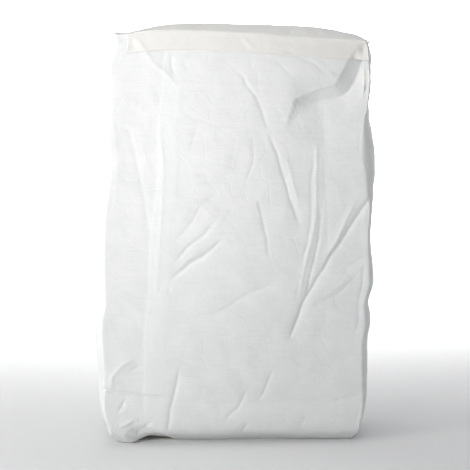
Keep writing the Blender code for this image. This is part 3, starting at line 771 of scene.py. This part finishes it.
fill_across = np.arange(FILL_COLUMNS) * (2 * FLAT_WIDTH / FILL_COLUMNS)
fill_up = np.linspace(FILL_FOOT, HEIGHT - FILL_HEADSPACE - FILL_ROUNDING, FILL_ROWS)
fill_across, fill_up = np.meshgrid(fill_across, fill_up)
pressed_in = np.minimum(read_grid(relief, UP, ACROSS, fill_up, fill_across), 0) * FILL_GIVES_WAY - FILL_INSET
fill_wall = plain_wall(fill_across, fill_up) + wall_normals(fill_across, fill_up) * pressed_in[..., None]
fill_top = fill_wall[-1].mean(axis=0) + (0, 0, TOP_DOME / 2)
fill_bottom = fill_wall[0].mean(axis=0)
fill_points = np.concatenate([fill_wall.reshape(-1, 3), [fill_top, fill_bottom]])
fill_numbers = np.arange(fill_wall.size // 3).reshape(fill_wall.shape[:2])
rim, foot = fill_numbers[-1], fill_numbers[0]
lid = np.stack([rim, np.roll(rim, -1), np.full_like(rim, fill_numbers.size)], axis=1)
base = np.stack([np.roll(foot, -1), foot, np.full_like(foot, fill_numbers.size + 1)], axis=1)
fill_faces = [grid_faces(np.append(fill_numbers, fill_numbers[:, :1], axis=1)), lid, base]


def fill_map(numbers):
    """Any even coordinates do for the powder: x and z."""
    return fill_points[numbers][..., [0, 2]]


fill = new_piece("gypsum_powder", fill_points, fill_faces, [fill_map] * 3)
powder_material, powder_shader, powder = new_finish("gypsum powder", (0.90, 0.89, 0.86), 0.95)
grains = powder.noise(powder.made("ShaderNodeTexCoord", {}, {}, output=3), (900, 900, 900), 3.0, 0.7)
powder_bump = powder.made("ShaderNodeBump", {}, {"Strength": 0.5, "Distance": 0.0006, "Height": grains})
powder_colour = powder.blend(grains.step(0.3, 0.7), (0.86, 0.85, 0.81, 1), (0.92, 0.91, 0.88, 1))
powder.tree.links.new(powder_colour.socket, powder_shader.inputs["Base Color"])
powder.tree.links.new(powder_bump.socket, powder_shader.inputs["Normal"])
fill.data.materials.append(powder_material)
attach(fill, "root")
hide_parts("gypsum_fill")

# The top cover strip: a strip of heavier paper, glued flat over the block end with a lap down the front. Its
# warmer, darker colour is partly the paper's own and partly painted warm reflected light and painted shade of
# the top end. Its low right corner has come unglued and stands off.
STRIP_LAP = 28.0
STRIP_ENDS = (-150.0, 181.5)
STRIP_DEPTH = 84.0
STRIP_THICK = 0.12
STRIP_GLUE = 0.1
STRIP_WAVE, STRIP_WAVE_LONG = 0.7, 23.0
TAB_LONG = 26.0
TAB_LIFT = 10.0
STRIP_STEP = 2.0
LAP_ROWS, ON_TOP_ROWS = 12, 33

skin = np.concatenate([wall[:, front], top])
skin_up = np.concatenate([UP, HEIGHT + top_lines[1:]])
edge_x = wall[-1, front, 0]
strip_left, strip_right = np.interp(STRIP_ENDS, edge_x, FRONT_ACROSS)
strip_across = np.linspace(strip_left, strip_right, round((strip_right - strip_left) / STRIP_STEP))
on_lap = np.linspace(HEIGHT - STRIP_LAP, HEIGHT - EDGE_RADIUS, LAP_ROWS + 1)[:-1]
on_top = HEIGHT + np.linspace(0, STRIP_DEPTH, ON_TOP_ROWS + 1)[1:]
strip_up = np.concatenate([on_lap, UP[-EDGE_ROWS - 1 :], on_top])
strip_at_across, strip_at_up = np.meshgrid(strip_across, strip_up)
low_share = np.clip((HEIGHT - strip_at_up) / STRIP_LAP, 0, 1)
strip_at_up = strip_at_up + low_share * STRIP_WAVE * np.sin(strip_at_across / STRIP_WAVE_LONG)
strip_points = read_grid(skin, skin_up, FRONT_ACROSS, strip_at_up, strip_at_across)
way_across, way_up = np.gradient(strip_points, axis=1), np.gradient(strip_points, axis=0)
strip_normals = np.cross(way_across, way_up)
strip_normals /= np.linalg.norm(strip_normals, axis=-1, keepdims=True)
strip_points += strip_normals * STRIP_GLUE
free_end = smooth_step(strip_at_across, strip_right - TAB_LONG, strip_right - TAB_LONG / 3)
strip_points[..., 1] -= TAB_LIFT * free_end * smooth_step(low_share, 0.1, 1.0)
strip_numbers = np.arange(strip_points.size // 3).reshape(strip_points.shape[:2])
strip_flat = np.stack([strip_at_across, strip_at_up], axis=-1).reshape(-1, 2)


def strip_map(numbers):
    """The strip's paper coordinates are the places that it covers."""
    return strip_flat[numbers]


strip_points = strip_points.reshape(-1, 3)
strip = new_piece("top_cover_strip_paper", strip_points, [grid_faces(strip_numbers)], [strip_map])
strip_wall = strip.modifiers.new("paper", "SOLIDIFY")
strip_wall.thickness = STRIP_THICK / 1000
strip_wall.offset = 1
# The strip's colours are warmer and darker than the sack's: partly its own paper, partly painted warm light
# and painted shade of the top end
STRIP_LIGHT, STRIP_DARK = (0.80, 0.79, 0.765), (0.765, 0.755, 0.73)
strip.data.materials.append(kraft_paper("cover strip paper", STRIP_LIGHT, STRIP_DARK, 0.6))
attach(strip, "root")
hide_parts("top_cover_strip")

# The bottom cover strip: the same paper, glued flat under the lower block end. The sack stands on it.
BOTTOM_STRIP_LONG, BOTTOM_STRIP_DEEP = 300.0, 72.0
BOTTOM_STRIP_THICK = 0.4

along_strip = np.linspace(-1, 1, 61) * BOTTOM_STRIP_LONG / 2
foot_x, foot_y = np.meshgrid(along_strip, np.linspace(-1, 1, 17) * BOTTOM_STRIP_DEEP / 2)
foot_points = np.stack([foot_x, foot_y, 0 * foot_x], axis=-1).reshape(-1, 3)
foot_numbers = np.arange(foot_x.size).reshape(foot_x.shape)


def foot_map(numbers):
    """The bottom strip's paper coordinates are x and y."""
    return foot_points[numbers][..., :2]


foot_faces = grid_faces(foot_numbers)[:, ::-1]
bottom_strip = new_piece("bottom_cover_strip_paper", foot_points, [foot_faces], [foot_map])
bottom_wall = bottom_strip.modifiers.new("paper", "SOLIDIFY")
bottom_wall.thickness = BOTTOM_STRIP_THICK / 1000
bottom_wall.offset = -1
bottom_strip.data.materials.append(strip.data.materials[0])
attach(bottom_strip, "root")
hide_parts("bottom_cover_strip")

# The valve sleeve: a flat paper tube in the right top corner, through which the sack was filled. The powder
# has pressed it shut, and its wavy mouth stands out of the side a little.
SLEEVE_LONG = 100.0
SLEEVE_HALF_WIDE = 43.0
SLEEVE_HALF_HIGH = 1.3
SLEEVE_STANDS_OUT = 3.0
SLEEVE_UP = 594.5
SLEEVE_THICK = 0.35
LIP_LONG = 9.0
# The mouth is just in front of the right side's fold
MOUTH_ACROSS = 499.5875

turn = np.linspace(0, 2 * np.pi, 96, endpoint=False)
inward = np.linspace(0, 1, 26) ** 1.5 * SLEEVE_LONG
around, along = np.meshgrid(turn, inward)
mouth_x = read_grid(wall[..., 0], UP, ACROSS, SLEEVE_UP, MOUTH_ACROSS)
lip = np.exp(-along / LIP_LONG)
sleeve_y = SLEEVE_HALF_WIDE * np.sign(np.cos(around)) * np.abs(np.cos(around)) ** 0.8
wave = lip * (0.9 * np.sin(sleeve_y / 9.0) + 0.5 * np.sin(sleeve_y / 4.1 + 1.0))
opening = SLEEVE_HALF_HIGH * (1 - 0.4 * (1 - lip)) * np.sin(around)
sleeve_x = mouth_x + SLEEVE_STANDS_OUT - along + lip * 0.8 * np.sin(sleeve_y / 14.0)
sunk = top_drop(np.minimum(sleeve_x, mouth_x), sleeve_y, SLEEVE_UP)
sleeve_z = BOTTOM_CLEARANCE + SLEEVE_UP * (1 - BOTTOM_CLEARANCE / HEIGHT) - sunk + opening + wave * 0.5
sleeve_points = np.stack([sleeve_x, sleeve_y, sleeve_z], axis=-1).reshape(-1, 3)
sleeve_numbers = np.arange(around.size).reshape(around.shape)


def sleeve_map(numbers):
    """The sleeve's paper coordinates are x and y."""
    return sleeve_points[numbers][..., :2]


sleeve_faces = grid_faces(np.append(sleeve_numbers, sleeve_numbers[:, :1], axis=1))
sleeve = new_piece("valve_sleeve_paper", sleeve_points, [sleeve_faces], [sleeve_map])
sleeve_wall = sleeve.modifiers.new("paper", "SOLIDIFY")
sleeve_wall.thickness = SLEEVE_THICK / 1000
sleeve_wall.offset = -1
sleeve.data.materials.append(kraft_paper("sleeve paper", (0.82, 0.81, 0.77), (0.77, 0.76, 0.72), 0.65))
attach(sleeve, "root")
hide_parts("valve_sleeve")

# The studio: a plain pale floor that fills the picture, a weak key light from the upper left, a soft light
# from the left that shows the folds, one overhead, a broad one that whitens the floor behind, and pale light
# from all round.
FLOOR_HALF = 60.0

floor_mesh = bpy.data.meshes.new("floor")
corners = [(x * FLOOR_HALF, y * FLOOR_HALF, 0) for x, y in ((-1, -1), (1, -1), (1, 1), (-1, 1))]
floor_mesh.from_pydata(corners, [], [(0, 1, 2, 3)])
floor = bpy.data.objects.new("floor", floor_mesh)
bpy.context.scene.collection.objects.link(floor)
floor_mesh.materials.append(new_finish("pale floor", (0.80, 0.80, 0.80), 0.9)[0])

world = bpy.data.worlds.new("pale room")
world.use_nodes = True
world.node_tree.nodes["Background"].inputs["Color"].default_value = (0.97, 0.985, 1.0, 1)
world.node_tree.nodes["Background"].inputs["Strength"].default_value = 0.43
bpy.context.scene.world = world


def add_light(name, place, aim, size, power, colour, spread):
    """A square soft light at a place, turned to a point, whose beam opens by the spread in degrees."""
    lamp = bpy.data.lights.new(name, "AREA")
    lamp.size, lamp.energy, lamp.color, lamp.spread = size, power, colour, np.radians(spread)
    light = bpy.data.objects.new(name, lamp)
    light.location = place
    light.rotation_euler = (Vector(aim) - Vector(place)).to_track_quat("-Z", "Y").to_euler()
    bpy.context.scene.collection.objects.link(light)


add_light("key", (-0.9, -1.5, 1.1), (-0.1, 0, 0.52), 0.6, 0.6, (1.0, 0.99, 0.97), 30)
add_light("side light", (-1.2, -0.75, 0.5), (-0.05, 0, 0.3), 0.6, 9.6, (1.0, 1.0, 1.0), 180)
add_light("backdrop light", (0, 4.6, 2.4), (0, 4.6, 0), 6.6, 980, (1.0, 1.0, 1.0), 65)
add_light("overhead light", (0, 0.2, 2.6), (0, 0.2, 0), 1.6, 10, (1.0, 1.0, 1.0), 150)

# The camera: higher than the sack, looking down a little, and a little to the left of its middle. It is far
# enough off for nearly straight upright lines.
AIM = Vector((0, 0, 0.2970))
CAMERA_PLACE = (-0.1798, -3.431, 0.9678)
VIEW_WIDE = 0.6815
VIEW_DISTANCE = 3.5

lens = bpy.data.cameras.new("camera")
lens.lens = lens.sensor_width * VIEW_DISTANCE / VIEW_WIDE
camera = bpy.data.objects.new("camera", lens)
camera.location = CAMERA_PLACE
camera.rotation_euler = (AIM - Vector(CAMERA_PLACE)).to_track_quat("-Z", "Y").to_euler()
bpy.context.scene.collection.objects.link(camera)
bpy.context.scene.camera = camera
bpy.context.scene.view_settings.view_transform = "Standard"
